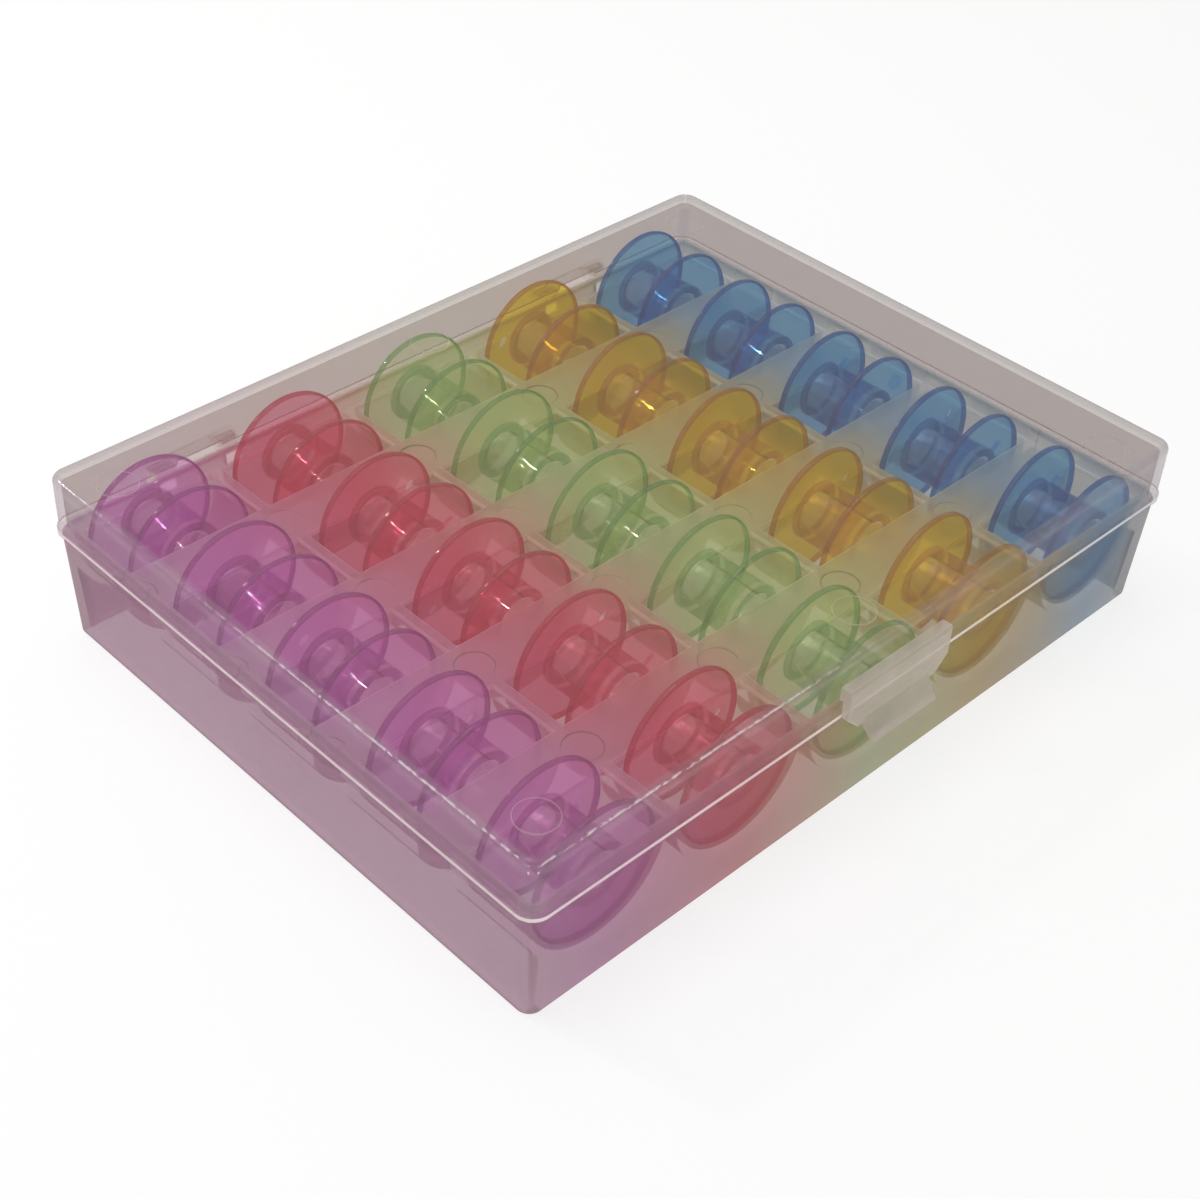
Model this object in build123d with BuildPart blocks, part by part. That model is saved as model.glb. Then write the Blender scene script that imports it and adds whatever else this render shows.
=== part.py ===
"""Hinged storage case with five rows of five sewing-machine bobbins, each in its own pocket.

Millimetres. X runs along the front from left to right, Y to the back and Z up.
The origin is at the middle of the case, on the surface that it stands on.
"""
import os

from build123d import *

os.makedirs("parts", exist_ok=True)

# ---- Bobbin --------------------------------------------------------------------------
BOBBIN_DIAMETER = 20.3
BOBBIN_LENGTH = 10.6
FLANGE_THICKNESS = 0.9
FLANGE_ROUND = 0.3
HUB_DIAMETER = 9.2
BORE_DIAMETER = 6.0
THREAD_HOLE_DIAMETER = 2.2
THREAD_HOLE_MARGIN = 1.1
SLIT_LENGTH = 1.7
SLIT_WIDTH = 0.35
SLIT_MARGIN = 0.2

# ---- Pockets: one column for each colour ----------------------------------------------
COLOURS = ["purple", "red", "green", "yellow", "blue"]
ROWS = 5
COLUMN_WALL = 1.95
ROW_DECK = 9.24
POCKET_SIDE_GAP = 1.25
POCKET_END_GAP = 0.3
BOBBIN_LIFT = 0.2
MOUTH_CHAMFER = 0.3
MOUTH_ANGLE = 45

# How far each bobbin happens to be turned: the angle of its thread hole above the
# X axis, from the back row to the front row. The slit in the other flange lies at the
# same angle.
THREAD_HOLE_ANGLES = {
    "purple": [82, 205, 124, -3, -5],
    "red": [115, 22, 190, 34, -2],
    "green": [35, 148, 180, 30, 50],
    "yellow": [163, 130, 27, 28, 28],
    "blue": [240, 168, 36, 34, 26],
}
# The bobbins that lie with the thread hole in the front flange and the slit in the rear.
HOLE_IN_FRONT = [
    "bobbin_purple_5",
    "bobbin_red_1",
    "bobbin_green_1",
    "bobbin_green_2",
    "bobbin_green_3",
    "bobbin_green_5",
    "bobbin_yellow_2",
    "bobbin_yellow_3",
    "bobbin_yellow_5",
    "bobbin_blue_2",
    "bobbin_blue_3",
    "bobbin_blue_5",
]

# ---- Base ----------------------------------------------------------------------------
CORNER_RADIUS = 2.8
POCKET_FLOOR = 4.6
DECK_RISE = 0.9
DECK_THICKNESS = 1.2
SEAT_RISE = 1.0
SIDE_MARGIN = 0.05
END_MARGIN = 0.67
BASE_STEP = 0.45
BASE_DRAFT = 2.5
BASE_WALL = 1.5
BASE_EDGE_ROUND = 0.5
LIP_THICKNESS = 0.5
LIP_HEIGHT = 1.2

# ---- Lid -----------------------------------------------------------------------------
LID_WALL = 1.1
LID_TOP = 1.4
LID_EDGE_ROUND = 0.9
LIP_CLEARANCE = 0.15
SEAT_GAP = 0.1
HEADROOM = 0.9
BEAD_HEIGHT = 0.9
BEAD_DEPTH = 0.3

# Round marks that the ejector pins leave in the moulding.
MARK_DEPTH = 0.12
DECK_MARK_DIAMETER = 5.5
LID_MARK_DIAMETER = 5.9
LID_MARK_INSET = 7.3

# ---- Hinge ---------------------------------------------------------------------------
HINGE_INSET = 25.3
HINGE_PIN_DIAMETER = 1.7
PIN_CLEARANCE = 0.05
KNUCKLE_WALL = 0.6
KNUCKLE_GAP = 0.4
KNUCKLE_LENGTH = 8.0
LUG_LENGTH = 3.0
LUG_END_GAP = 0.3
WEB_HEIGHT = 2.6
WEB_GAP = 0.5

# ---- Clasp ---------------------------------------------------------------------------
CLASP_WIDTH = 20.4
CLASP_THICKNESS = 1.2
CLASP_RISE = 5.4
CLASP_DROP = 1.6
CLASP_CHAMFER = 2.4
CLASP_EDGE_ROUND = 0.3
CLASP_ROOT = 2.0
FINGER_WIDTH = 12.6
FINGER_DROP = 2.2
FINGER_THICKNESS = 1.0
CATCH_WIDTH = 14.0
CATCH_HEIGHT = 0.8
CATCH_DEPTH = 0.4
CATCH_CLEARANCE = 0.12
HOOK_DEPTH = 0.25

# ---- Sizes that follow ---------------------------------------------------------------
COLUMNS = len(COLOURS)
POCKET_WIDTH = BOBBIN_DIAMETER + 2 * POCKET_SIDE_GAP
POCKET_LENGTH = BOBBIN_LENGTH + 2 * POCKET_END_GAP
POCKET_RADIUS = POCKET_WIDTH / 2
COLUMN_PITCH = POCKET_WIDTH + COLUMN_WALL
ROW_PITCH = POCKET_LENGTH + ROW_DECK
THREAD_HOLE_RADIUS = HUB_DIAMETER / 2 + THREAD_HOLE_MARGIN + THREAD_HOLE_DIAMETER / 2
SLIT_RADIUS = HUB_DIAMETER / 2 + SLIT_MARGIN + SLIT_LENGTH / 2
FLANGE_MIDDLE = (BOBBIN_LENGTH - FLANGE_THICKNESS) / 2

TROUGH_AXIS = POCKET_FLOOR + POCKET_RADIUS
DECK_HEIGHT = TROUGH_AXIS + DECK_RISE
SEAT_HEIGHT = DECK_HEIGHT + SEAT_RISE
BOBBIN_AXIS = POCKET_FLOOR + BOBBIN_LIFT + BOBBIN_DIAMETER / 2
LID_BOTTOM = SEAT_HEIGHT + SEAT_GAP
LID_CEILING = BOBBIN_AXIS + BOBBIN_DIAMETER / 2 + HEADROOM
CASE_HEIGHT = LID_CEILING + LID_TOP

MOUTH_WIDTH = POCKET_WIDTH + 2 * MOUTH_CHAMFER
MOUTH_LENGTH = POCKET_LENGTH + 2 * MOUTH_CHAMFER
DECK_LENGTH = COLUMN_PITCH * (COLUMNS - 1) + MOUTH_WIDTH + 2 * SIDE_MARGIN
DECK_DEPTH = ROW_PITCH * (ROWS - 1) + MOUTH_LENGTH + 2 * END_MARGIN
LIP_LENGTH = DECK_LENGTH + 2 * LIP_THICKNESS
LIP_DEPTH = DECK_DEPTH + 2 * LIP_THICKNESS
ROOM_LENGTH = LIP_LENGTH + 2 * LIP_CLEARANCE
ROOM_DEPTH = LIP_DEPTH + 2 * LIP_CLEARANCE
LID_LENGTH = ROOM_LENGTH + 2 * LID_WALL
LID_DEPTH = ROOM_DEPTH + 2 * LID_WALL
CASE_LENGTH = LID_LENGTH + 2 * BEAD_DEPTH
CASE_DEPTH = LID_DEPTH + 2 * BEAD_DEPTH
BASE_LENGTH = CASE_LENGTH - 2 * BASE_STEP
BASE_DEPTH = CASE_DEPTH - 2 * BASE_STEP

LID_RADIUS = CORNER_RADIUS - BEAD_DEPTH
ROOM_RADIUS = LID_RADIUS - LID_WALL
LIP_RADIUS = ROOM_RADIUS + LIP_CLEARANCE

KNUCKLE_RADIUS = HINGE_PIN_DIAMETER / 2 + PIN_CLEARANCE + KNUCKLE_WALL
PROJECTION = KNUCKLE_GAP + 2 * KNUCKLE_RADIUS
HINGE_Y = CASE_DEPTH / 2 + KNUCKLE_GAP + KNUCKLE_RADIUS
HINGE_Z = LID_BOTTOM
HINGE_X = CASE_LENGTH / 2 - HINGE_INSET
LUG_OFFSET = KNUCKLE_LENGTH / 2 + LUG_END_GAP + LUG_LENGTH / 2
LUG_PLACES = [side * HINGE_X + end * LUG_OFFSET for side in (-1, 1) for end in (-1, 1)]

FRONT_WALL_Y = -LID_DEPTH / 2
CATCH_TOP = SEAT_HEIGHT
CATCH_BOTTOM = CATCH_TOP - CATCH_HEIGHT
CATCH_ROOT_Y = -BASE_DEPTH / 2 + BASE_WALL
CATCH_Y = -BASE_DEPTH / 2 - CATCH_DEPTH
HOOK_Y = CATCH_Y - CATCH_CLEARANCE
HOOK_TOP = CATCH_BOTTOM - CATCH_CLEARANCE
CLASP_INNER_Y = HOOK_Y - HOOK_DEPTH
CLASP_OUTER_Y = CLASP_INNER_Y - CLASP_THICKNESS
CLASP_GAP = FRONT_WALL_Y - CLASP_INNER_Y
CLASP_TOP = LID_BOTTOM + CLASP_RISE
CLASP_BOTTOM = LID_BOTTOM - CLASP_DROP
FINGER_Y = -CASE_DEPTH / 2 - PROJECTION
FINGER_TOP = CLASP_BOTTOM + FINGER_THICKNESS
FINGER_BOTTOM = CLASP_BOTTOM - FINGER_DROP


def column_x(column):
    """Middle of a column of pockets, counted from the left."""
    return (column - (COLUMNS - 1) / 2) * COLUMN_PITCH


def row_y(row):
    """Middle of a row of pockets, counted from the back."""
    return ((ROWS - 1) / 2 - row) * ROW_PITCH


def trough_sections(radius):
    """A row of U-shaped trough sections up to the deck, on a sketch along the rows."""
    with Locations(*[(column_x(column), TROUGH_AXIS) for column in range(COLUMNS)]):
        Circle(radius)
        Rectangle(2 * radius, radius, align=(Align.CENTER, Align.MIN), mode=Mode.SUBTRACT)
        Rectangle(2 * radius, DECK_RISE, align=(Align.CENTER, Align.MIN))


def flange_face(centre, side):
    """Outer face of a bobbin's front (-1) or rear (1) flange, looking out of the bobbin."""
    face_centre = (centre.X, centre.Y + side * BOBBIN_LENGTH / 2, centre.Z)
    return Plane(face_centre, x_dir=(-side, 0, 0), z_dir=(0, side, 0))


def flange_angle(angle, side):
    """An angle above the X axis as that face has it: the rear face sees it mirrored."""
    return angle if side < 0 else 180 - angle


# ---- Space under the deck, between the skirt and the troughs --------------------------
with BuildPart() as underside:
    with BuildSketch(Plane.XY.offset(DECK_HEIGHT - DECK_THICKNESS)):
        Rectangle(BASE_LENGTH - 2 * BASE_WALL, BASE_DEPTH - 2 * BASE_WALL)
    extrude(amount=-DECK_HEIGHT, taper=BASE_DRAFT)
    for row in range(ROWS):
        with BuildSketch(Plane.XZ.offset(-row_y(row))):
            trough_sections(POCKET_RADIUS + DECK_THICKNESS)
        extrude(amount=POCKET_LENGTH / 2 + DECK_THICKNESS, both=True, mode=Mode.SUBTRACT)


# ---- Base: a skirt, a deck, and a trough under each pocket ----------------------------
with BuildPart() as base:
    with BuildSketch(Plane.XY.offset(SEAT_HEIGHT)):
        RectangleRounded(BASE_LENGTH, BASE_DEPTH, CORNER_RADIUS)
    extrude(amount=-SEAT_HEIGHT, taper=BASE_DRAFT)
    fillet(base.faces().sort_by(Axis.Z)[0].edges(), radius=BASE_EDGE_ROUND)
    add(underside.part, mode=Mode.SUBTRACT)

    # Deck sunk below the seat of the lid, inside a lip that locates the lid
    with BuildSketch(Plane.XY.offset(SEAT_HEIGHT)):
        RectangleRounded(LIP_LENGTH, LIP_DEPTH, LIP_RADIUS)
    extrude(amount=LIP_HEIGHT)
    with BuildSketch(Plane.XY.offset(DECK_HEIGHT)):
        RectangleRounded(DECK_LENGTH, DECK_DEPTH, LIP_RADIUS - LIP_THICKNESS)
    extrude(amount=SEAT_RISE + LIP_HEIGHT, mode=Mode.SUBTRACT)

    # Pockets with chamfered mouths
    for row in range(ROWS):
        with BuildSketch(Plane.XZ.offset(-row_y(row))):
            trough_sections(POCKET_RADIUS)
        extrude(amount=POCKET_LENGTH / 2, both=True, mode=Mode.SUBTRACT)
    with BuildSketch(Plane.XY.offset(DECK_HEIGHT)):
        with GridLocations(COLUMN_PITCH, ROW_PITCH, COLUMNS, ROWS):
            Rectangle(MOUTH_WIDTH, MOUTH_LENGTH)
    extrude(amount=-MOUTH_CHAMFER, taper=MOUTH_ANGLE, mode=Mode.SUBTRACT)

    # Marks of the ejector pins between the pockets
    with BuildSketch(Plane.XY.offset(DECK_HEIGHT)):
        with GridLocations(COLUMN_PITCH, ROW_PITCH, COLUMNS - 1, ROWS - 1):
            Circle(DECK_MARK_DIAMETER / 2)
    extrude(amount=-MARK_DEPTH, mode=Mode.SUBTRACT)

    # Catch on the front wall, which the hook of the clasp goes under
    with BuildSketch(Plane.YZ.offset(-CATCH_WIDTH / 2)):
        with BuildLine():
            Polyline(
                (CATCH_ROOT_Y, CATCH_TOP),
                (CATCH_Y + CATCH_DEPTH, CATCH_TOP),
                (CATCH_Y, CATCH_TOP - CATCH_DEPTH),
                (CATCH_Y, CATCH_BOTTOM),
                (CATCH_ROOT_Y, CATCH_BOTTOM),
                close=True,
            )
        make_face()
    extrude(amount=CATCH_WIDTH)

    # Hinge lugs on the back wall, each a round eye on a web
    for lug_x in LUG_PLACES:
        with BuildSketch(Plane.YZ.offset(lug_x)):
            with Locations((HINGE_Y, HINGE_Z)):
                Circle(KNUCKLE_RADIUS)
            with Locations((HINGE_Y, HINGE_Z - WEB_GAP)):
                Rectangle(HINGE_Y - BASE_DEPTH / 2 + BASE_WALL, WEB_HEIGHT,
                          align=(Align.MAX, Align.MAX))
            with Locations((HINGE_Y, HINGE_Z)):
                Circle(HINGE_PIN_DIAMETER / 2 + PIN_CLEARANCE, mode=Mode.SUBTRACT)
        extrude(amount=LUG_LENGTH / 2, both=True)
base.part.label = "base"
export_step(base.part, "parts/base.step")


# ---- Lid: a shallow tray turned over, with its hinge knuckles -------------------------
with BuildPart() as lid:
    with BuildSketch(Plane.XY.offset(LID_BOTTOM)):
        RectangleRounded(LID_LENGTH, LID_DEPTH, LID_RADIUS)
    extrude(amount=CASE_HEIGHT - LID_BOTTOM)
    fillet(lid.faces().sort_by(Axis.Z)[-1].edges(), radius=LID_EDGE_ROUND)
    with BuildSketch(Plane.XY.offset(LID_BOTTOM)):
        RectangleRounded(CASE_LENGTH, CASE_DEPTH, CORNER_RADIUS)
    extrude(amount=BEAD_HEIGHT)
    with BuildSketch(Plane.XY.offset(LID_BOTTOM)):
        RectangleRounded(ROOM_LENGTH, ROOM_DEPTH, ROOM_RADIUS)
    extrude(amount=LID_CEILING - LID_BOTTOM, mode=Mode.SUBTRACT)

    # Marks of the ejector pins on the underside
    with BuildSketch(Plane.XY.offset(LID_CEILING)):
        with GridLocations(CASE_LENGTH / 2 - LID_MARK_INSET,
                           CASE_DEPTH - 2 * LID_MARK_INSET, 3, 2):
            Circle(LID_MARK_DIAMETER / 2)
    extrude(amount=MARK_DEPTH, mode=Mode.SUBTRACT)

    # Hinge knuckles, each on an arm from the back wall and with a pin at both ends
    for knuckle_x in (-HINGE_X, HINGE_X):
        with BuildSketch(Plane.YZ.offset(knuckle_x)):
            with Locations((HINGE_Y, HINGE_Z)):
                Circle(KNUCKLE_RADIUS)
                Rectangle(HINGE_Y - LID_DEPTH / 2 + LID_WALL / 2, KNUCKLE_RADIUS,
                          align=(Align.MAX, Align.MIN))
        extrude(amount=KNUCKLE_LENGTH / 2, both=True)
        with BuildSketch(Plane.YZ.offset(knuckle_x)):
            with Locations((HINGE_Y, HINGE_Z)):
                Circle(HINGE_PIN_DIAMETER / 2)
        extrude(amount=KNUCKLE_LENGTH / 2 + LUG_END_GAP + LUG_LENGTH, both=True)
lid.part.label = "lid"
export_step(lid.part, "parts/lid.step")


# ---- Clasp: a plate that flexes from its top edge, with a finger lip and a hook --------
with BuildPart() as clasp:
    with BuildSketch(Plane.XZ.offset(-CLASP_INNER_Y)):
        with Locations((0, CLASP_BOTTOM)):
            Rectangle(CLASP_WIDTH, CLASP_TOP - CLASP_BOTTOM, align=(Align.CENTER, Align.MIN))
    extrude(amount=CLASP_THICKNESS)
    chamfer(clasp.edges().filter_by(Axis.Y).group_by(Axis.Z)[0], length=CLASP_CHAMFER)
    fillet(clasp.faces().sort_by(Axis.Y)[0].edges(), radius=CLASP_EDGE_ROUND)

    # Root that joins the plate to the front wall of the lid
    with BuildSketch(Plane.XZ.offset(-FRONT_WALL_Y)):
        with Locations((0, CLASP_TOP)):
            Rectangle(CLASP_WIDTH, CLASP_ROOT, align=(Align.CENTER, Align.MAX))
    extrude(amount=CLASP_GAP)

    # Finger lip, flared towards the hand
    with BuildSketch(Plane.YZ):
        with BuildLine():
            Polyline(
                (CLASP_INNER_Y, FINGER_TOP),
                (CLASP_INNER_Y, CLASP_BOTTOM),
                (FINGER_Y + FINGER_THICKNESS, FINGER_BOTTOM),
                (FINGER_Y, FINGER_BOTTOM),
                (CLASP_OUTER_Y, FINGER_TOP),
                close=True,
            )
        make_face()
    extrude(amount=FINGER_WIDTH / 2, both=True)

    # Hook that goes under the catch of the base
    with BuildSketch(Plane.YZ):
        with BuildLine():
            Polyline(
                (CLASP_INNER_Y, HOOK_TOP),
                (HOOK_Y, HOOK_TOP),
                (CLASP_INNER_Y, CLASP_BOTTOM),
                close=True,
            )
        make_face()
    extrude(amount=CATCH_WIDTH / 2, both=True)
clasp.part.label = "clasp"
export_step(clasp.part, "parts/clasp.step")


# ---- Bobbins: two flanges on a hub, with a bore, a thread hole and a thread slit -------
for column, colour in enumerate(COLOURS):
    for row in range(ROWS):
        name = f"bobbin_{colour}_{row + 1}"
        centre = Vector(column_x(column), row_y(row), BOBBIN_AXIS)
        turn = THREAD_HOLE_ANGLES[colour][row]
        hole_side = -1 if name in HOLE_IN_FRONT else 1
        with BuildPart() as bobbin:
            with BuildSketch(Plane(centre, x_dir=(0, 1, 0), z_dir=(1, 0, 0))):
                with Locations((0, BORE_DIAMETER / 2)):
                    Rectangle(BOBBIN_LENGTH, (HUB_DIAMETER - BORE_DIAMETER) / 2,
                              align=(Align.CENTER, Align.MIN))
                with Locations(*[(end * FLANGE_MIDDLE, BORE_DIAMETER / 2) for end in (-1, 1)]):
                    Rectangle(FLANGE_THICKNESS, (BOBBIN_DIAMETER - BORE_DIAMETER) / 2,
                              align=(Align.CENTER, Align.MIN))
            revolve(axis=Axis(centre, (0, 1, 0)))
            rims = bobbin.edges().filter_by(GeomType.CIRCLE).sort_by(SortBy.RADIUS)[-4:]
            fillet(rims, radius=FLANGE_ROUND)
            with BuildSketch(flange_face(centre, hole_side)):
                with PolarLocations(THREAD_HOLE_RADIUS, 1,
                                    start_angle=flange_angle(turn, hole_side)):
                    Circle(THREAD_HOLE_DIAMETER / 2)
            extrude(amount=-FLANGE_THICKNESS, mode=Mode.SUBTRACT)
            with BuildSketch(flange_face(centre, -hole_side)):
                with PolarLocations(SLIT_RADIUS, 1,
                                    start_angle=flange_angle(turn, -hole_side)):
                    Rectangle(SLIT_LENGTH, SLIT_WIDTH)
            extrude(amount=-FLANGE_THICKNESS, mode=Mode.SUBTRACT)
        bobbin.part.label = name
        export_step(bobbin.part, f"parts/{name}.step")
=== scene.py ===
"""Looks of the bobbin case: clear lid, milky base, frosted clasp and tinted bobbins.

Metres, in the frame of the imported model: X along the front, Y to the back, Z up.
"""
import math

import bpy
from mathutils import Matrix, Vector


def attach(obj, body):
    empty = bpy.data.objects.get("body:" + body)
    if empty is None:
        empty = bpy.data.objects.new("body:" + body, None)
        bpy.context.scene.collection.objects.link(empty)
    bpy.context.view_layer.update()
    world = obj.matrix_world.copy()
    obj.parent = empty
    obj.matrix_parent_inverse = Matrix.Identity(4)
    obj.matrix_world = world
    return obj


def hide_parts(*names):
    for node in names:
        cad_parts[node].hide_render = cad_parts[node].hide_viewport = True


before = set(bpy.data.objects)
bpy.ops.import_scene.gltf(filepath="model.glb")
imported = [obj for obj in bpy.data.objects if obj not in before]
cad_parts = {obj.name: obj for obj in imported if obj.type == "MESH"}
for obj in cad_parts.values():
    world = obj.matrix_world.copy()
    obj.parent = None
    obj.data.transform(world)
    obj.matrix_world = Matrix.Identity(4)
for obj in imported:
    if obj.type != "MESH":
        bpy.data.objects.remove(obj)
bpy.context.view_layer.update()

MM = 0.001
COLOURS = ["purple", "red", "green", "yellow", "blue"]
ROWS = 5
WHITE = (1.0, 1.0, 1.0)

# ---- Camera ---------------------------------------------------------------------------
IMAGE_WIDTH, IMAGE_HEIGHT = 1200, 1199
CAMERA_TARGET = Vector((-0.01397, -0.00444, 0.010))
CAMERA_DISTANCE = 0.286895
CAMERA_AZIMUTH, CAMERA_ELEVATION, CAMERA_ROLL = -45.214, 39.681, 2.704
CAMERA_NEAR, CAMERA_FAR = 0.01, 20
FOCAL_PIXELS = 2039.65
CENTRE_PIXEL = (570.75, 610.19)
SENSOR_WIDTH = 36.0

# ---- Light ----------------------------------------------------------------------------
WORLD_STRENGTH = 0.45
WORLD_COLOUR = (1.0, 0.985, 0.965)
CEILING_LAMP = dict(place=(-0.05, 0.10, 0.62), size=(0.50, 0.30), power=1.6)
SIDE_LAMP = dict(place=(-0.55, -0.35, 0.35), size=(0.30, 0.30), power=0.6)
SPARK_LAMP = dict(place=(-0.20, 0.42, 0.36), size=(0.04, 0.04), power=0.9)

# ---- Floor ----------------------------------------------------------------------------
FLOOR_SIZE = 6.0
FLOOR_HEIGHT = -0.0002
FLOOR_COLOUR = (0.95, 0.95, 0.95)
FLOOR_ROUGHNESS = 0.9
# How much of its own white the floor shows to the eye.
FLOOR_WHITE = 0.75

# ---- Bobbins --------------------------------------------------------------------------
BOBBIN_AXIS = 0.01495
COLUMN_PITCH = 0.02475
ROW_PITCH = 0.02044
BOBBIN_SIZES = {
    "Diameter": 20.3, "Length": 10.6, "Flange": 0.9, "Hub": 9.2, "Bore": 6.0,
    "Rim Round": 0.3, "Bore Round": 0.3, "Hub Round": 0.12,
    "Hole Diameter": 2.2, "Hole Radius": 6.8,
    "Slit Length": 1.7, "Slit Width": 0.35, "Slit Radius": 5.65,
}
BOBBIN_SEGMENTS = 96
HOLE_SEGMENTS = 32
ROUND_STEPS = 3
# Edges sharper than this many degrees are shaded as creases.
CREASE_ANGLE = 40
# A face whose normal lies this much along the axis is shaded flat.
FLAT_FACE = 0.9999
# Angle of each thread hole above the X axis, from the back row to the front row.
HOLE_ANGLES = {
    "purple": [82, 205, 124, -3, -5],
    "red": [115, 22, 190, 34, -2],
    "green": [35, 148, 180, 30, 50],
    "yellow": [163, 130, 27, 28, 28],
    "blue": [240, 168, 36, 34, 26],
}
HOLE_IN_FRONT = [
    "bobbin_purple_5", "bobbin_red_1", "bobbin_green_1", "bobbin_green_2", "bobbin_green_3",
    "bobbin_green_5", "bobbin_yellow_2", "bobbin_yellow_3", "bobbin_yellow_5",
    "bobbin_blue_2", "bobbin_blue_3", "bobbin_blue_5",
]

# ---- Plastics -------------------------------------------------------------------------
# In what follows, a pair of places is where a mask starts and where it is full, and three
# are a band from one to the other with the width of its soft edges. Noises are a scale to
# the metre and a detail. MILK is the share of light that a skin scatters: its range over
# the noise, and what each mask adds. SHINE is the strength of the mirror on top, and
# SHINES is what each mask adds to it.
NOISE_ROUGHNESS = 0.55

# Each bobbin colour: what a flange's face lets past, what a rim lets past, its own glow.
BOBBIN_TINTS = {
    "purple": ((0.98, 0.82, 1.00), (0.56, 0.12, 0.50), (0.80, 0.24, 0.72)),
    "red": ((1.00, 0.71, 0.81), (0.72, 0.09, 0.16), (0.94, 0.13, 0.24)),
    "green": ((0.97, 1.00, 0.90), (0.32, 0.60, 0.24), (0.50, 0.80, 0.30)),
    "yellow": ((1.00, 0.91, 0.25), (0.66, 0.33, 0.02), (0.86, 0.60, 0.03)),
    "blue": ((0.57, 0.84, 1.00), (0.04, 0.18, 0.54), (0.05, 0.36, 0.86)),
}
BORE_TINT = (0.98, 0.98, 0.97)
BOBBIN_FLOW = (260.0, 2.0)
BOBBIN_BUMP = 0.00002
# Distances from the axis.
RIM_RADII = (0.00970, 0.00985)
HUB_RADII = (0.0044, 0.0047, 0.0001)
HUB_LINE_RADII = (0.0045, 0.0047, 0.00005)
RING_RADII = (0.0031, 0.0045, 0.0001)
BORE_RADII = (0.00305, 0.00325)
BORE_LINE_RADII = (0.00295, 0.00318, 0.00004)
BORE_LIP_RADII = (0.00295, 0.00335, 0.00005)
# Distances from the middle along the axis.
HUB_END = (0.0043, 0.0044)
BORE_LIP_START = (0.0049, 0.0050)
OUTER_FACE = (0.0051, 0.0052)
BOBBIN_DEPTH = dict(rim=0.80, hub=0.36, ring=0.60, lines=0.35)
BOBBIN_MILK_RANGE, DEEP_MILK = (0.05, 0.10), 0.14
BOBBIN_SHINE, BOBBIN_SHINES = 0.5, dict(rim=0.5, bore=4.0)
BOBBIN_GLOSS_ROUGHNESS, BOBBIN_ROUGHNESS = 0.05, 0.25
# What a bobbin lets past to the lamps is its pale tint to this power.
BOBBIN_SHADE_POWER = 0.1

# Milk of the deck and of the outer walls between two places on X, with the bobbins' coloured
# light painted into it as a little of their colours. The walls' tones are darker copies of
# the deck's, as painted shade.
TONE_ENDS = (-0.063, 0.063)
DECK_PAINTED_LIGHT_TONES = [
    (0.00, (0.80, 0.59, 0.75)), (0.107, (0.80, 0.49, 0.75)), (0.304, (0.81, 0.38, 0.46)),
    (0.40, (0.81, 0.62, 0.51)), (0.50, (0.70, 0.77, 0.50)), (0.60, (0.73, 0.77, 0.46)),
    (0.696, (0.75, 0.67, 0.39)), (0.80, (0.72, 0.67, 0.48)), (0.893, (0.52, 0.67, 0.78)),
    (1.00, (0.63, 0.72, 0.75)),
]
WALL_PAINTED_LIGHT_SHADE_TONES = [
    (0.00, (0.47, 0.33, 0.38)), (0.107, (0.48, 0.28, 0.38)), (0.304, (0.50, 0.26, 0.26)),
    (0.40, (0.48, 0.31, 0.26)), (0.50, (0.41, 0.40, 0.28)), (0.60, (0.43, 0.39, 0.25)),
    (0.696, (0.43, 0.34, 0.19)), (0.80, (0.39, 0.34, 0.28)), (0.893, (0.29, 0.34, 0.40)),
    (1.00, (0.47, 0.45, 0.44)),
]
# Both hinge halves start here on Y. Each is clearer than the rest of its piece.
HINGE_START = (0.0494, 0.0497)
HINGE_TINT = (0.97, 0.95, 0.94)

# Lid, whose right and back faces are tinted darker as painted shade.
LID_CLOUD, LID_FINE, LID_SPARKLE = (60.0, 3.0), (1500.0, 1.0), (1300.0, 2.0)
LID_CLOUD_SHARE, LID_FINE_SHARE, LID_BUMP = 0.9, 0.1, 0.00003
LID_SKIN_X, LID_SKIN_Y = (0.0622, 0.0624), (0.0484, 0.0486)
LID_EDGE_X, LID_EDGE_Y = (0.0617, 0.0620), (0.0479, 0.0482)
LID_CORNER_X, LID_CORNER_Y = (0.0604, 0.0609), (0.0466, 0.0471)
LID_GLINT_X, LID_GLINT_Y = (0.06176, 0.06190, 0.00004), (0.04796, 0.04810, 0.00004)
LID_BEAD_Z = (0.0182, 0.0187, 0.0001)
LID_CORNER_TOP = (0.0246, 0.0250)
LID_BAND_Z = (0.0250, 0.0262)
LID_TOP_Z = (0.0256, 0.0259)
LID_GLINT_Z = (0.0257, 0.0261, 0.0001)
# The glint breaks up with the noise, and fades towards the front left corner on X + Y.
SPARKLE_CUT, SPARKLE_FADE = (0.36, 0.62), (-0.090, -0.030)
# Ejector marks on the lid: how far they lie apart along X, and from the middle along Y.
LID_MARK_PITCH = 0.056
LID_MARK_ROW = 0.0422
LID_MARK_RADII, LID_MARK_Z = (0.00285, 0.00300, 0.00006), (0.0255, 0.0265, 0.0002)
# The right and back faces' tints are darker copies, as painted shade.
LID_TINTS = dict(
    side=(0.81, 0.78, 0.78), far_side=(0.70, 0.67, 0.66), corner=(0.76, 0.72, 0.74),
    edge=(0.80, 0.76, 0.77), far_edge=(0.62, 0.59, 0.58), top=(0.89, 0.86, 0.84))
# The lid's haze, and the near-white painted light of the line along its rim.
LID_HAZE, LID_BEAD_PAINTED_LIGHT = (0.80, 0.76, 0.74), (1.0, 0.91, 0.90)
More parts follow.
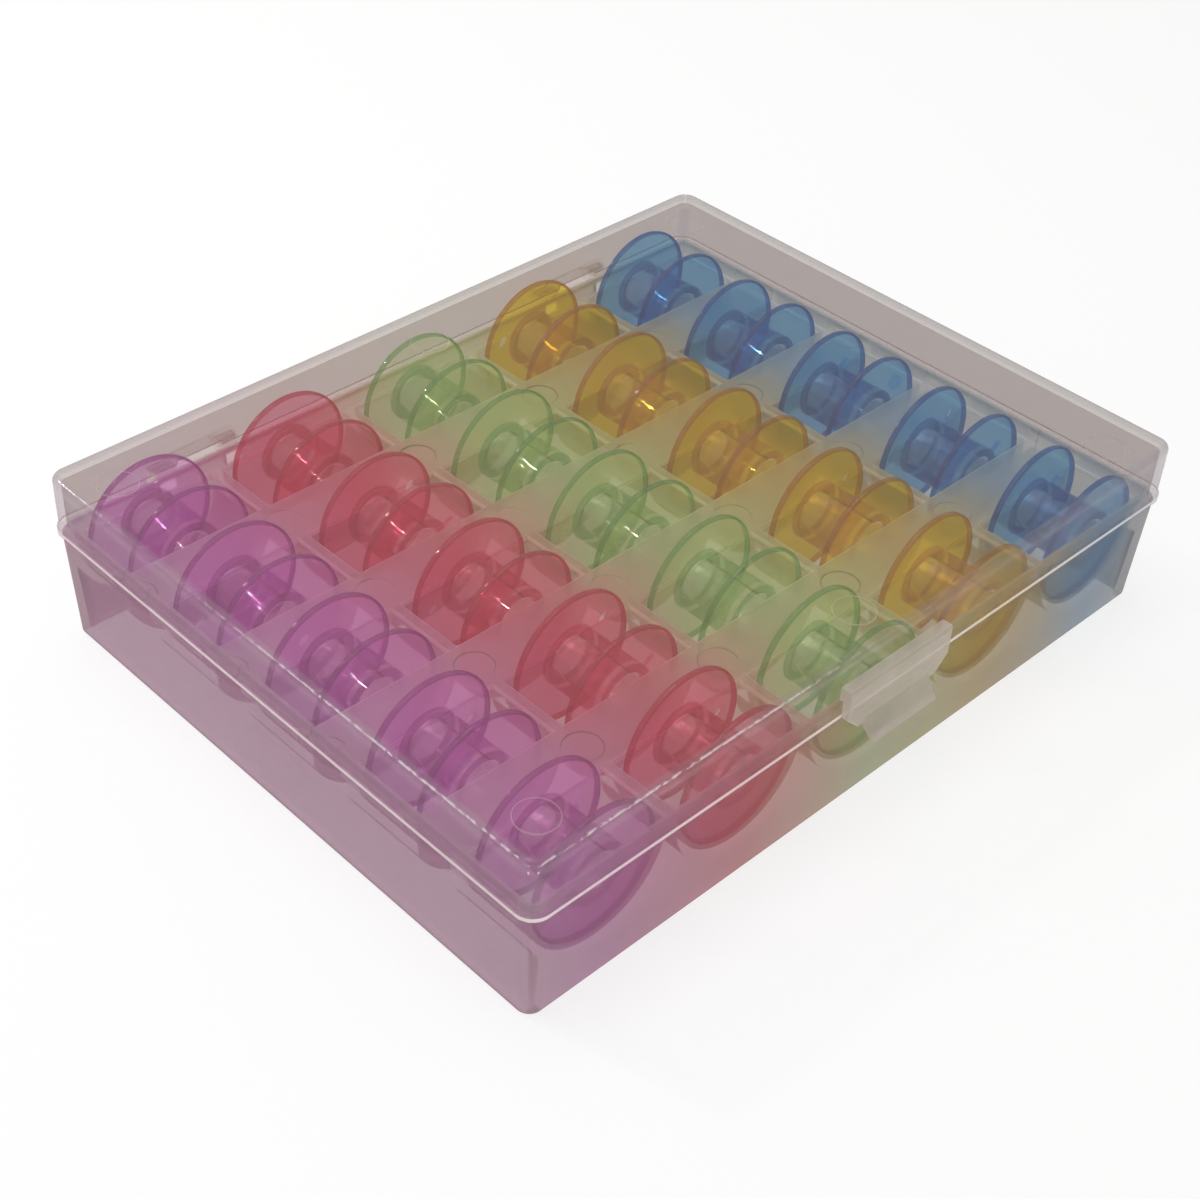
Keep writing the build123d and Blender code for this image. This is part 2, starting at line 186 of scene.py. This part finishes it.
# How much of the deck's painted bobbin light is in the lid's haze.
LID_DECK_SHARE = 0.25
LID_MILK_RANGE = (0.06, 0.10)
LID_MILK = dict(bead=0.85, band=0.10, far=0.04, corner=0.10, mark=0.30, hinge=-0.08)
LID_SHINE, LID_SHINES = 0.02, dict(edge=0.28, glint=18.0)
LID_GLOSS_ROUGHNESS, LID_ROUGHNESS = 0.05, 0.3
LID_SHADE = (0.99, 0.99, 0.99)

# Base.
BASE_CLOUD, BASE_FINE = (45.0, 3.0), (1300.0, 1.0)
BASE_CLOUD_SHARE, BASE_FINE_SHARE, BASE_BUMP = 0.8, 0.2, 0.00003
BASE_WALL_X, BASE_WALL_Y = (0.0614, 0.0618), (0.0482, 0.0496, 0.0002)
BASE_WALL_TOP = (0.0175, 0.0178)
BASE_CORNER_X, BASE_CORNER_Y = (0.0595, 0.0600), (0.0467, 0.0472)
BASE_CORNER_TOP = (0.0160, 0.0165)
DECK_Z = (0.0162, 0.0165)
# Sides and ends of the opening of each pocket, from the pocket's middle, along which a paler
# line is painted as a highlight.
MOUTH_X, MOUTH_X_END = (0.0114, 0.0117, 0.0001), (0.0117, 0.0118)
MOUTH_Y, MOUTH_Y_END = (0.0056, 0.0059, 0.0001), (0.0059, 0.0060)
DECK_MARK_RADII, DECK_MARK_CUT = (0.00268, 0.00282, 0.00005), (0.48, 0.56)
DECK_MARK_TONE = (0.30, 0.26, 0.22)
DECK_CLEAR, DECK_TONE_SHARE = (0.94, 0.93, 0.93), 0.32
WALL_CLEAR, WALL_TONE_SHARE = (0.90, 0.88, 0.88), 0.5
BASE_MILK_RANGE = (0.34, 0.44)
BASE_MILK = dict(mouth=0.35, mark=0.15, hinge=-0.38)
BASE_GLOSS_ROUGHNESS, BASE_SHINE, BASE_ROUGHNESS = 0.45, 0.15, 0.6
BASE_SHADE = (0.70, 0.69, 0.69)

# Clasp.
CLASP_CLOUD, CLASP_GRAIN, CLASP_BUMP = (180.0, 3.0), (3000.0, 1.0), 0.00005
CLASP_TONES = ((0.74, 0.69, 0.64), (0.84, 0.79, 0.73))
CLASP_TINT = (0.86, 0.83, 0.81)
CLASP_MILK_RANGE = (0.40, 0.50)
CLASP_GLOSS_ROUGHNESS, CLASP_SHINE, CLASP_ROUGHNESS = 0.25, 0.3, 0.4
CLASP_SHADE = (0.90, 0.90, 0.90)

# Mirror of a plastic skin: its strength seen straight on, and how fast it grows aslant.
MIRROR_LEAST, MIRROR_POWER = 0.03, 5.0
# Share of a milky skin's light that comes from behind it.
GLOW_BEHIND = 0.5


class Wire:
    """A socket of a node tree that arithmetic can be written with."""

    def __init__(self, nodes, socket):
        self.nodes = nodes
        self.socket = socket

    def maths(self, operation, *values):
        node = self.nodes.node("ShaderNodeMath", {"operation": operation},
                               dict(enumerate(values)))
        return Wire(self.nodes, node.outputs[0])

    def __add__(self, other):
        return self.maths("ADD", self, other)

    def __radd__(self, other):
        return self.maths("ADD", other, self)

    def __sub__(self, other):
        return self.maths("SUBTRACT", self, other)

    def __rsub__(self, other):
        return self.maths("SUBTRACT", other, self)

    def __mul__(self, other):
        return self.maths("MULTIPLY", self, other)

    def __truediv__(self, other):
        return self.maths("DIVIDE", self, other)

    def __pow__(self, other):
        return self.maths("POWER", self, other)

    def __neg__(self):
        return self.maths("MULTIPLY", self, -1.0)

    def __abs__(self):
        return self.maths("ABSOLUTE", self)

    def larger(self, other):
        return self.maths("MAXIMUM", self, other)

    def more_than(self, limit):
        """1 where this is more than limit, and 0 elsewhere."""
        return self.maths("GREATER_THAN", self, limit)

    def less_than(self, limit):
        """1 where this is less than limit, and 0 elsewhere."""
        return self.maths("LESS_THAN", self, limit)

    def nearest(self, pitch):
        """Distance from the nearest multiple of pitch."""
        return self.maths("PINGPONG", self, pitch / 2)

    def clipped(self):
        node = self.nodes.node("ShaderNodeClamp", {}, {"Value": self})
        return Wire(self.nodes, node.outputs[0])

    def slope(self, low, high, shape="LINEAR"):
        """0 below low and 1 above high."""
        node = self.nodes.node("ShaderNodeMapRange", {"interpolation_type": shape},
                               {"Value": self, "From Min": low, "From Max": high})
        return Wire(self.nodes, node.outputs[0])

    def step(self, low, high):
        """0 below low and 1 above high, smooth between."""
        return self.slope(low, high, "SMOOTHSTEP")

    def band(self, low, high, soft):
        """1 between low and high, fading to 0 over soft on both sides."""
        return self.step(low - soft, low) * (1 - self.step(high, high + soft))

    def between(self, low, high):
        """low where this is 0 and high where it is 1."""
        return self * (high - low) + low


class Nodes:
    """A node tree that is written down node by node."""

    def __init__(self, tree):
        self.tree = tree

    def node(self, kind, settings=None, values=None):
        """Adds a node, makes its settings, and fills or links its sockets."""
        node = self.tree.nodes.new(kind)
        for key, value in (settings or {}).items():
            setattr(node, key, value)
        for key, value in (values or {}).items():
            self.fill(node.inputs[key], value)
        return node

    def fill(self, socket, value):
        """Links a socket or a wire, or sets a value. A colour is set as red, green, blue."""
        if isinstance(value, Wire):
            value = value.socket
        if isinstance(value, bpy.types.NodeSocket):
            self.tree.links.new(value, socket)
        elif socket.type == "RGBA":
            socket.default_value = (*value, 1.0)
        else:
            socket.default_value = value


class Shape(Nodes):
    """A Geometry Nodes tree with named sizes, which makes plain meshes."""

    def __init__(self, name, sizes):
        super().__init__(bpy.data.node_groups.new(name, "GeometryNodeTree"))
        face = self.tree.interface
        face.new_socket("Geometry", in_out="OUTPUT", socket_type="NodeSocketGeometry")
        kinds = {"Material": "NodeSocketMaterial", "Place": "NodeSocketVector"}
        self.keys = {}
        for size in (*sizes, "Place", "Material"):
            item = face.new_socket(size, in_out="INPUT",
                                   socket_type=kinds.get(size, "NodeSocketFloat"))
            self.keys[size] = item.identifier
        self.given = self.node("NodeGroupInput")

    def size(self, name):
        return Wire(self, self.given.outputs[name])

    def vector(self, x, y, z):
        return self.node("ShaderNodeCombineXYZ", {}, {0: x, 1: y, 2: z}).outputs[0]

    def choose(self, index, values):
        """The value that stands at index."""
        node = self.node("GeometryNodeIndexSwitch", {"data_type": "FLOAT"})
        for _ in values[2:]:
            node.index_switch_items.new()
        for place, value in enumerate((index, *values)):
            self.fill(node.inputs[place], value)
        return Wire(self, node.outputs[0])

    def moved(self, geometry, place, turn=(0, 0, 0)):
        return self.node("GeometryNodeTransform", {}, {
            "Geometry": geometry, "Translation": place, "Rotation": turn}).outputs[0]

    def end(self, geometry):
        """Shades the geometry, creased at its edges and flat across its ends, and ends."""
        real = self.node("GeometryNodeRealizeInstances", {}, {0: geometry})
        facing = self.node("GeometryNodeInputNormal")
        split = self.node("ShaderNodeSeparateXYZ", {}, {0: facing.outputs[0]})
        endwise = abs(Wire(self, split.outputs[1]))
        smooth = self.node("GeometryNodeSetShadeSmooth", {}, {
            0: real.outputs[0], "Shade Smooth": endwise.less_than(FLAT_FACE)})
        angle = Wire(self, self.node("GeometryNodeInputMeshEdgeAngle").outputs[0])
        sharp = self.node("GeometryNodeSetShadeSmooth", {"domain": "EDGE"}, {
            0: smooth.outputs[0], "Shade Smooth": False,
            "Selection": angle.more_than(math.radians(CREASE_ANGLE))})
        painted = self.node("GeometryNodeSetMaterial", {}, {
            "Geometry": sharp.outputs[0], "Material": self.size("Material")})
        self.node("NodeGroupOutput", {}, {0: painted.outputs[0]})

    def make(self, name, values):
        """One plain mesh of this shape, as an object at the origin."""
        holder = bpy.data.objects.new(name, bpy.data.meshes.new(name))
        bpy.context.collection.objects.link(holder)
        modifier = holder.modifiers.new("shape", "NODES")
        modifier.node_group = self.tree
        for size, value in values.items():
            modifier[self.keys[size]] = value
        graph = bpy.context.evaluated_depsgraph_get()
        plain = bpy.data.meshes.new_from_object(holder.evaluated_get(graph))
        holder.modifiers.clear()
        holder.data = plain
        return holder


class Finish(Nodes):
    """A material and its node tree."""

    def __init__(self, name):
        self.material = bpy.data.materials.new(name)
        self.material.use_nodes = True
        super().__init__(self.material.node_tree)
        self.tree.nodes.clear()
        self.place = self.node("ShaderNodeTexCoord").outputs["Object"]

    def axes(self, centre=(0, 0, 0)):
        """The X, Y and Z of a point, measured from centre."""
        moved = self.node("ShaderNodeVectorMath", {"operation": "SUBTRACT"},
                          {0: self.place, 1: centre})
        split = self.node("ShaderNodeSeparateXYZ", {}, {0: moved.outputs[0]})
        return [Wire(self, socket) for socket in split.outputs]

    def noise(self, scale, detail):
        """Noise between about 0 and 1, with scale features to the metre."""
        node = self.node("ShaderNodeTexNoise", {}, {
            "Vector": self.place, "Scale": scale, "Detail": detail,
            "Roughness": NOISE_ROUGHNESS})
        return Wire(self, node.outputs["Fac"])

    def mix_colour(self, share, first, second):
        node = self.node("ShaderNodeMix", {"data_type": "RGBA"},
                         {0: share, 6: first, 7: second})
        return Wire(self, node.outputs[2])

    def ramp(self, share, stops):
        """A colour that runs through the stops, each a place from 0 to 1 and a colour."""
        node = self.node("ShaderNodeValToRGB", {}, {0: share})
        elements = node.color_ramp.elements
        elements[0].position, elements[-1].position = stops[0][0], stops[-1][0]
        elements[0].color, elements[-1].color = (*stops[0][1], 1.0), (*stops[-1][1], 1.0)
        for place, colour in stops[1:-1]:
            elements.new(place).color = (*colour, 1.0)
        return Wire(self, node.outputs[0])

    def bump(self, height, distance):
        return self.node("ShaderNodeBump", {}, {
            "Height": height, "Distance": distance, "Strength": 1.0}).outputs[0]

    def transparent(self, colour):
        return self.node("ShaderNodeBsdfTransparent", {}, {"Color": colour}).outputs[0]

    def mix(self, share, first, second):
        return self.node("ShaderNodeMixShader", {},
                         {0: share, 1: first, 2: second}).outputs[0]

    def milky(self, tone, roughness, normal):
        """Milky plastic, which shows the light behind it as well as the light in front."""
        front = self.node("ShaderNodeBsdfPrincipled", {}, {
            "Base Color": tone, "Roughness": roughness, "Normal": normal})
        back = self.node("ShaderNodeBsdfTranslucent", {}, {"Color": tone, "Normal": normal})
        return self.mix(GLOW_BEHIND, front.outputs[0], back.outputs[0])

    def show(self, shader):
        self.node("ShaderNodeOutputMaterial", {}, {"Surface": shader})
        return self.material

    def show_plastic(self, tint, share, body, gloss, normal, shade):
        """Straight-through plastic: each face lets tint past to the eye and shade past to
        the lamps, share says how much of the milky body shows, and gloss is the roughness
        and the strength of its shine."""
        roughness, strength = gloss
        plain = self.mix(share, self.transparent(tint), body)
        facing = Wire(self, self.node("ShaderNodeLayerWeight", {}, {
            "Blend": 0.5, "Normal": normal}).outputs["Facing"])
        shine = self.node("ShaderNodeBsdfGlossy", {}, {
            "Color": WHITE, "Roughness": roughness, "Normal": normal})
        mirror = (facing ** MIRROR_POWER + MIRROR_LEAST) * strength
        seen = self.mix(mirror, plain, shine.outputs[0])
        lamp_ray = self.node("ShaderNodeLightPath").outputs["Is Shadow Ray"]
        return self.show(self.mix(lamp_ray, seen, self.transparent(shade)))


def weighed(weights, **masks):
    """The masks' sum, each times its own weight."""
    return sum(mask * weights[name] for name, mask in masks.items())


def distance(x, y):
    """Distance of a point from the origin of two axes."""
    return (x * x + y * y) ** 0.5


def bobbin_plastic(colour, middle_x):
    """Clear tinted plastic: pale through a flange, deep along the rims and the hub."""
    pale, deep, glow = BOBBIN_TINTS[colour]
    finish = Finish(f"{colour}_clear_plastic")
    across, along, above = finish.axes((middle_x, 0.0, BOBBIN_AXIS))
    radius = distance(across, above)
    out = along.nearest(ROW_PITCH)
    flow = finish.noise(*BOBBIN_FLOW)
    normal = finish.bump(flow, BOBBIN_BUMP)

    rim = radius.step(*RIM_RADII)
    hub = radius.band(*HUB_RADII) * (1 - out.step(*HUB_END))
    face = out.step(*OUTER_FACE)
    ring = radius.band(*RING_RADII) * face
    bore = 1 - radius.step(*BORE_RADII)
    lip = radius.band(*BORE_LIP_RADII) * out.step(*BORE_LIP_START)
    lines = radius.band(*BORE_LINE_RADII).larger(radius.band(*HUB_LINE_RADII)) * face

    depth = weighed(BOBBIN_DEPTH, rim=rim, hub=hub, ring=ring, lines=lines).clipped()
    clear = finish.mix_colour(bore, pale, BORE_TINT)
    body = finish.milky(finish.mix_colour(depth, glow, deep), BOBBIN_ROUGHNESS, normal)
    return finish.show_plastic(
        tint=finish.mix_colour(depth, clear, deep),
        share=(flow.between(*BOBBIN_MILK_RANGE) + depth * DEEP_MILK).clipped(),
        body=body,
        gloss=(BOBBIN_GLOSS_ROUGHNESS,
               weighed(BOBBIN_SHINES, rim=rim, bore=lip + bore) + BOBBIN_SHINE),
        normal=normal,
        shade=[channel ** BOBBIN_SHADE_POWER for channel in pale])


def lid_plastic():
    """Clear, slightly hazy plastic, paler along the edges and around the ejector marks, with
    a painted near-white line along the rim, painted shade on the right and back faces, and
    the bobbins' painted light in its haze.
    """
    finish = Finish("lid_clear_plastic")
    across, along, above = finish.axes()
    side_x, side_y = abs(across), abs(along)
    cloud = finish.noise(*LID_CLOUD)
    normal = finish.bump(
        cloud * LID_CLOUD_SHARE + finish.noise(*LID_FINE) * LID_FINE_SHARE, LID_BUMP)

    # Painted light: a near-white, nearly opaque line along the lid's rim.
    bead = side_x.step(*LID_SKIN_X).larger(side_y.step(*LID_SKIN_Y))
    bead = bead * above.band(*LID_BEAD_Z)
    # Painted shade: the right and back faces, darker and a little milkier.
    far = across.step(*LID_SKIN_X).larger(along.step(*LID_SKIN_Y))
    top = above.step(*LID_TOP_Z)
    edge = side_x.step(*LID_EDGE_X).larger(side_y.step(*LID_EDGE_Y))
    band = edge * above.step(*LID_BAND_Z)
    corner = side_x.step(*LID_CORNER_X) * side_y.step(*LID_CORNER_Y)
    corner = corner * (1 - above.step(*LID_CORNER_TOP))
    hinge = along.step(*HINGE_START)
    mark_radius = distance(across.nearest(LID_MARK_PITCH), side_y - LID_MARK_ROW)
    mark = mark_radius.band(*LID_MARK_RADII) * above.band(*LID_MARK_Z)
    sparkle = finish.noise(*LID_SPARKLE).step(*SPARKLE_CUT)
    sparkle = sparkle * (1 - (across + along).step(*SPARKLE_FADE))
    glint = side_x.band(*LID_GLINT_X).larger(side_y.band(*LID_GLINT_Y))
    glint = glint * above.band(*LID_GLINT_Z) * sparkle

    # Painted light: the lid's haze takes in the bobbins' colours painted into the deck
    # tones.
    bobbin_painted_light = finish.ramp(across.slope(*TONE_ENDS), DECK_PAINTED_LIGHT_TONES)
    haze = finish.mix_colour(LID_DECK_SHARE, LID_HAZE, bobbin_painted_light)
    tone = finish.mix_colour(bead, haze, LID_BEAD_PAINTED_LIGHT)
    side = finish.mix_colour(far, LID_TINTS["side"], LID_TINTS["far_side"])
    wall = finish.mix_colour(corner, side, LID_TINTS["corner"])
    edging = finish.mix_colour(far, LID_TINTS["edge"], LID_TINTS["far_edge"])
    flat = finish.mix_colour(band, LID_TINTS["top"], edging)
    skin = finish.mix_colour(top, wall, flat)
    milk = weighed(LID_MILK, bead=bead, band=band, far=far, corner=corner, mark=mark,
                   hinge=hinge)
    return finish.show_plastic(
        tint=finish.mix_colour(hinge, skin, HINGE_TINT),
        share=(cloud.between(*LID_MILK_RANGE) + milk).clipped(),
        body=finish.milky(tone, LID_ROUGHNESS, normal),
        gloss=(LID_GLOSS_ROUGHNESS, weighed(LID_SHINES, edge=edge, glint=glint) + LID_SHINE),
        normal=normal,
        shade=LID_SHADE)


def base_plastic():
    """Milky plastic, with the bobbins' coloured light painted into its deck and walls, and
    painted shade darkening its outer walls.
    """
    finish = Finish("base_milky_plastic")
    across, along, above = finish.axes()
    side_x, side_y = abs(across), abs(along)
    cloud = finish.noise(*BASE_CLOUD)
    normal = finish.bump(
        cloud * BASE_CLOUD_SHARE + finish.noise(*BASE_FINE) * BASE_FINE_SHARE, BASE_BUMP)

    outside = side_x.step(*BASE_WALL_X).larger(side_y.band(*BASE_WALL_Y))
    outside = outside * (1 - above.step(*BASE_WALL_TOP))
    corner = side_x.step(*BASE_CORNER_X) * side_y.step(*BASE_CORNER_Y)
    outside = outside.larger(corner * (1 - above.step(*BASE_CORNER_TOP)))
    deck = above.step(*DECK_Z)
    hinge = along.step(*HINGE_START)
    column, row = across.nearest(COLUMN_PITCH), along.nearest(ROW_PITCH)
    # Painted highlight: a paler, milkier line along each pocket's opening.
    mouth_sides = column.band(*MOUTH_X) * (1 - row.step(*MOUTH_Y_END))
    mouth_ends = row.band(*MOUTH_Y) * (1 - column.step(*MOUTH_X_END))
    mouth = mouth_sides.larger(mouth_ends) * deck
    mark_radius = distance(COLUMN_PITCH / 2 - column, ROW_PITCH / 2 - row)
    mark = mark_radius.band(*DECK_MARK_RADII) * cloud.step(*DECK_MARK_CUT) * deck

    # Painted light: the bobbins' colours cast on the deck and walls, with painted shade on
    # the outer walls.
    place = across.slope(*TONE_ENDS)
    deck_painted_light, wall_painted_light_shade = finish.ramp(place, DECK_PAINTED_LIGHT_TONES), finish.ramp(place, WALL_PAINTED_LIGHT_SHADE_TONES)
    lit = finish.mix_colour(outside, deck_painted_light, wall_painted_light_shade)
    tone = finish.mix_colour(mark, lit, DECK_MARK_TONE)
    skin = finish.mix_colour(
        outside, finish.mix_colour(DECK_TONE_SHARE, DECK_CLEAR, deck_painted_light),
        finish.mix_colour(WALL_TONE_SHARE, WALL_CLEAR, wall_painted_light_shade))
    milk = weighed(BASE_MILK, mouth=mouth, mark=mark, hinge=hinge)
    return finish.show_plastic(
        tint=finish.mix_colour(hinge, skin, HINGE_TINT),
        share=(cloud.between(*BASE_MILK_RANGE) + milk).clipped(),
        body=finish.milky(tone, BASE_ROUGHNESS, normal),
        gloss=(BASE_GLOSS_ROUGHNESS, BASE_SHINE),
        normal=normal,
        shade=BASE_SHADE)


def clasp_plastic():
    """Frosted plastic with a fine grain."""
    finish = Finish("clasp_frosted_plastic")
    cloud = finish.noise(*CLASP_CLOUD)
    normal = finish.bump(finish.noise(*CLASP_GRAIN), CLASP_BUMP)
    tone = finish.mix_colour(cloud, *CLASP_TONES)
    return finish.show_plastic(
        tint=CLASP_TINT,
        share=cloud.between(*CLASP_MILK_RANGE),
        body=finish.milky(tone, CLASP_ROUGHNESS, normal),
        gloss=(CLASP_GLOSS_ROUGHNESS, CLASP_SHINE),
        normal=normal,
        shade=CLASP_SHADE)


def bobbin_section(shape):
    """The half section of a bobbin as a closed curve, from its bore outwards."""
    rim, hub, bore, end = [shape.size(name) / 2.0 for name in (
        "Diameter", "Hub", "Bore", "Length")]
    inner = end - shape.size("Flange")
    rim_round, hub_round, bore_round = [shape.size(name) for name in (
        "Rim Round", "Hub Round", "Bore Round")]
    radii = [bore, rim, rim, hub, hub, rim, rim, bore]
    places = [end, end, inner, inner, -inner, -inner, -end, -end]
    rounds = [bore_round, rim_round, rim_round, hub_round,
              hub_round, rim_round, rim_round, bore_round]
    line = shape.node("GeometryNodeMeshLine", {}, {"Count": len(radii)})
    curve = shape.node("GeometryNodeMeshToCurve", {}, {0: line.outputs[0]})
    loop = shape.node("GeometryNodeSetSplineCyclic", {}, {
        "Geometry": curve.outputs[0], "Cyclic": True})
    index = shape.node("GeometryNodeInputIndex").outputs[0]
    out, along, rounding = [
        shape.choose(index, values) for values in (radii, places, rounds)]
    corners = shape.node("GeometryNodeSetPosition", {}, {
        "Geometry": loop.outputs[0], "Position": shape.vector(out - bore, along, 0.0)})
    section = shape.node("GeometryNodeFilletCurve", {"mode": "POLY"}, {
        "Curve": corners.outputs[0], "Count": ROUND_STEPS, "Radius": rounding})
    return section.outputs[0]


def bobbin_cutters(shape):
    """What cuts the thread hole in one flange and the slit in the other."""
    flange = shape.size("Flange")
    middle = (shape.size("Length") / 2.0 - flange / 2.0) * shape.size("Hole Side")
    drill = shape.node("GeometryNodeMeshCylinder", {}, {
        "Vertices": HOLE_SEGMENTS, "Radius": shape.size("Hole Diameter") / 2.0,
        "Depth": flange * 2.0})
    blade = shape.node("GeometryNodeMeshCube", {}, {"Size": shape.vector(
        shape.size("Slit Length"), shape.size("Slit Width"), flange * 2.0)})
    tools = shape.node("GeometryNodeJoinGeometry")
    for tool, radius, height in ((drill, "Hole Radius", middle),
                                 (blade, "Slit Radius", -middle)):
        placed = shape.moved(tool.outputs[0], shape.vector(shape.size(radius), 0.0, height))
        shape.fill(tools.inputs[0], placed)
    return shape.moved(tools.outputs[0], (0, 0, 0),
                       shape.vector(0.0, 0.0, shape.size("Turn")))


def bobbin_shape():
    """A bobbin turned on its axis from a rounded section, with its hole and its slit."""
    shape = Shape("bobbin", [*BOBBIN_SIZES, "Turn", "Hole Side"])
    ring = shape.node("GeometryNodeCurvePrimitiveCircle", {}, {
        "Resolution": BOBBIN_SEGMENTS, "Radius": shape.size("Bore") / 2.0})
    turned = shape.node("GeometryNodeCurveToMesh", {}, {
        "Curve": ring.outputs[0], "Profile Curve": bobbin_section(shape)})
    solid = shape.node("GeometryNodeFlipFaces", {}, {0: turned.outputs[0]})
    cut = shape.node("GeometryNodeMeshBoolean", {"operation": "DIFFERENCE"}, {
        "Mesh 1": solid.outputs[0], "Mesh 2": bobbin_cutters(shape)})
    shape.end(shape.moved(cut.outputs[0], shape.size("Place"), (math.radians(90), 0, 0)))
    return shape


def make_bobbins():
    shape = bobbin_shape()
    sizes = {key: value * MM for key, value in BOBBIN_SIZES.items()}
    for column, colour in enumerate(COLOURS):
        middle_x = (column - (len(COLOURS) - 1) / 2) * COLUMN_PITCH
        plastic = bobbin_plastic(colour, middle_x)
        for row in range(ROWS):
            name = f"bobbin_{colour}_{row + 1}"
            bobbin = shape.make(f"{name}_turned", {
                **sizes, "Turn": math.radians(HOLE_ANGLES[colour][row]),
                "Hole Side": 1.0 if name in HOLE_IN_FRONT else -1.0,
                "Place": (middle_x, ((ROWS - 1) / 2 - row) * ROW_PITCH, BOBBIN_AXIS),
                "Material": plastic})
            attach(bobbin, name)
            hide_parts(name)


def dress(node, material):
    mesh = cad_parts[node].data
    mesh.materials.clear()
    mesh.materials.append(material)


def dress_case():
    dress("base", base_plastic())
    dress("lid", lid_plastic())
    dress("clasp", clasp_plastic())


def looked_at(nodes):
    """1 for rays that the eye, a shine or a clear body looks along, 0 for rays of light."""
    path = nodes.node("ShaderNodeLightPath")
    kinds = [Wire(nodes, path.outputs[f"Is {kind} Ray"])
             for kind in ("Camera", "Glossy", "Transmission")]
    return sum(kinds).clipped()


def make_floor():
    """A white floor that takes the shadow, and looks paler than it lights the object."""
    bpy.ops.mesh.primitive_plane_add(size=FLOOR_SIZE, location=(0, 0, FLOOR_HEIGHT))
    floor = bpy.context.object
    floor.name = "floor"
    finish = Finish("floor_white")
    pale = finish.node("ShaderNodeBsdfPrincipled", {}, {
        "Base Color": FLOOR_COLOUR, "Roughness": FLOOR_ROUGHNESS})
    white = finish.node("ShaderNodeEmission", {}, {"Color": WHITE})
    floor.data.materials.append(finish.show(finish.mix(
        looked_at(finish) * FLOOR_WHITE, pale.outputs[0], white.outputs[0])))


def make_world():
    """An even world that looks white, and lights the object less than it looks."""
    world = bpy.data.worlds.new("studio")
    world.use_nodes = True
    nodes = Nodes(world.node_tree)
    nodes.tree.nodes.clear()
    even = nodes.node("ShaderNodeBackground", {}, {
        "Color": WORLD_COLOUR, "Strength": WORLD_STRENGTH})
    white = nodes.node("ShaderNodeBackground", {}, {"Color": WHITE})
    mixed = nodes.node("ShaderNodeMixShader", {}, {
        0: looked_at(nodes), 1: even.outputs[0], 2: white.outputs[0]})
    nodes.node("ShaderNodeOutputWorld", {}, {0: mixed.outputs[0]})
    bpy.context.scene.world = world


def make_lamp(name, place, size, power):
    """An area lamp that points at the origin."""
    lamp = bpy.data.lights.new(name, "AREA")
    lamp.shape = "RECTANGLE"
    lamp.size, lamp.size_y = size
    lamp.energy = power
    holder = bpy.data.objects.new(name, lamp)
    holder.location = place
    holder.rotation_euler = (-Vector(place)).to_track_quat("-Z", "Y").to_euler()
    bpy.context.collection.objects.link(holder)


def make_camera():
    azimuth, elevation, roll = map(math.radians, (
        CAMERA_AZIMUTH, CAMERA_ELEVATION, CAMERA_ROLL))
    back = Vector((math.sin(azimuth) * math.cos(elevation),
                   -math.cos(azimuth) * math.cos(elevation), math.sin(elevation)))
    right = Vector((0, 0, 1)).cross(back).normalized()
    up = back.cross(right)
    turned_right = right * math.cos(roll) + up * math.sin(roll)
    turned_up = up * math.cos(roll) - right * math.sin(roll)
    data = bpy.data.cameras.new("camera")
    data.sensor_fit = "HORIZONTAL"
    data.sensor_width = SENSOR_WIDTH
    data.lens = SENSOR_WIDTH * FOCAL_PIXELS / IMAGE_WIDTH
    data.shift_x = (IMAGE_WIDTH / 2 - CENTRE_PIXEL[0]) / IMAGE_WIDTH
    data.shift_y = (CENTRE_PIXEL[1] - IMAGE_HEIGHT / 2) / IMAGE_WIDTH
    data.clip_start, data.clip_end = CAMERA_NEAR, CAMERA_FAR
    camera = bpy.data.objects.new("camera", data)
    axes = Matrix((turned_right, turned_up, back)).transposed().to_4x4()
    camera.matrix_world = Matrix.Translation(CAMERA_TARGET + back * CAMERA_DISTANCE) @ axes
    bpy.context.collection.objects.link(camera)
    bpy.context.scene.camera = camera


def set_light_paths():
    """Enough bounces for rays that cross the lid, several bobbins and the base."""
    cycles = bpy.context.scene.cycles
    cycles.max_bounces = 28
    cycles.transmission_bounces = 28
    cycles.transparent_max_bounces = 40
    cycles.glossy_bounces = 6
    cycles.diffuse_bounces = 4


dress_case()
make_bobbins()
make_floor()
make_world()
make_lamp("ceiling_lamp", **CEILING_LAMP)
make_lamp("side_lamp", **SIDE_LAMP)
make_lamp("spark_lamp", **SPARK_LAMP)
make_camera()
set_light_paths()
bpy.context.scene.view_settings.view_transform = "Standard"
